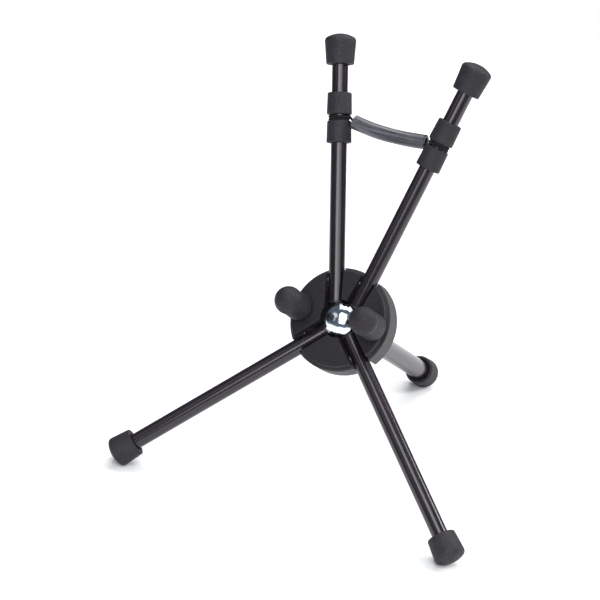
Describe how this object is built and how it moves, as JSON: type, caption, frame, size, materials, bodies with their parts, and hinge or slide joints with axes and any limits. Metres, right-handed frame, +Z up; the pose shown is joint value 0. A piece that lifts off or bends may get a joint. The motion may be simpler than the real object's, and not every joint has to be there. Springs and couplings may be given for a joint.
{
  "type": "saxophone stand",
  "caption": "Compact folding saxophone stand: a round hub with padded pegs, hinged front legs and support arms, a fixed rear leg and a hose between the arms.",
  "frame": {"origin": "middle of the stand's footprint box on the floor, below the hub and behind it", "axes": "+Z up, the hub's face looks towards -Y and up, +X to the right seen from the front"},
  "size_m": [0.2898, 0.2825, 0.3174],
  "materials": {
    "hub_plastic": "fine moulded texture, dark charcoal",
    "cover_plastic": "fine spark-eroded texture, charcoal",
    "steel": "zinc plated",
    "dome_chrome": "bright plated, lightly handled",
    "peg_rubber": "matte soft rubber",
    "cap_rubber": "matte grey-black rubber",
    "tube_anodised": "satin black anodised",
    "plug_plastic": "moulded nylon",
    "plug_metal": "turned",
    "hose_rubber": "extruded rubber hose, matte grey",
    "elastic_cord": "braided elastic cord, black"
  },
  "bodies": {
    "hub": {"hub_body": "hub_plastic", "cover_right": "cover_plastic", "cover_bottom": "cover_plastic", "cover_left": "cover_plastic", "cover_top": "cover_plastic", "cover_screws": "steel", "dome_cap": "dome_chrome", "bolt_washer": "steel", "center_bolt": "steel", "peg_stud_left": "hub_plastic", "peg_pad_left": "peg_rubber", "peg_stud_right": "hub_plastic", "peg_pad_right": "peg_rubber", "rear_leg_tube": "tube_anodised", "rear_leg_plug": "plug_metal", "rear_foot": "cap_rubber", "arm_left_pin": "steel", "arm_right_pin": "steel", "leg_left_pin": "steel", "leg_right_pin": "steel"},
    "arm_left": {"arm_left_tube": "tube_anodised", "arm_left_hinge_plug": "plug_plastic", "arm_left_cap": "cap_rubber", "arm_left_upper_sleeve": "cap_rubber", "arm_left_lower_sleeve": "cap_rubber"},
    "arm_right": {"arm_right_tube": "tube_anodised", "arm_right_hinge_plug": "plug_plastic", "arm_right_cap": "cap_rubber", "arm_right_upper_sleeve": "cap_rubber", "arm_right_lower_sleeve": "cap_rubber", "elastic_loop_right": "elastic_cord"},
    "leg_left": {"leg_left_tube": "tube_anodised", "leg_left_hinge_plug": "plug_plastic", "leg_left_foot": "cap_rubber"},
    "leg_right": {"leg_right_tube": "tube_anodised", "leg_right_hinge_plug": "plug_plastic", "leg_right_foot": "cap_rubber"},
    "hose_left": {"hose_left": "hose_rubber", "elastic_cord_left": "elastic_cord"},
    "hose_right": {"hose_right": "hose_rubber", "elastic_cord_right": "elastic_cord"}
  },
  "joints": [
    {"name": "arm_left_fold", "type": "hinge", "parent": "hub", "child": "arm_left", "pos_m": [-0.01237, -0.03614, 0.15009], "axis": [-0.97, -0.1295, -0.2057], "range_deg": [0, 100.56]},
    {"name": "arm_right_fold", "type": "hinge", "parent": "hub", "child": "arm_right", "pos_m": [0.01237, -0.03614, 0.15009], "axis": [-0.97, 0.1295, 0.2057], "range_deg": [0, 100.56]},
    {"name": "leg_left_fold", "type": "hinge", "parent": "hub", "child": "leg_left", "pos_m": [-0.02041, -0.05923, 0.10629], "axis": [0.721, -0.3692, -0.5863], "range_deg": [0, 93.11]},
    {"name": "leg_right_fold", "type": "hinge", "parent": "hub", "child": "leg_right", "pos_m": [0.02041, -0.05923, 0.10629], "axis": [0.721, 0.3692, 0.5863], "range_deg": [0, 93.11]},
    {"name": "hose_left_swivel", "type": "hinge", "parent": "arm_left", "child": "hose_left", "pos_m": [-0.04107, 0.00626, 0.25873], "axis": [0.239, -0.3531, -0.9046], "range_deg": [0, 65.8]},
    {"name": "hose_bend", "type": "hinge", "parent": "hose_left", "child": "hose_right", "pos_m": [-0.00034, 0.01067, 0.25187], "axis": [0.0069, 0.3644, 0.9312], "range_deg": [0, 165]}
  ],
  "couplings": [
    {"joint": "arm_right_fold", "follows": "arm_left_fold", "ratio": 1},
    {"joint": "hose_left_swivel", "follows": "arm_left_fold", "ratio": 0.65368},
    {"joint": "hose_bend", "follows": "arm_left_fold", "ratio": 1.6404}
  ]
}
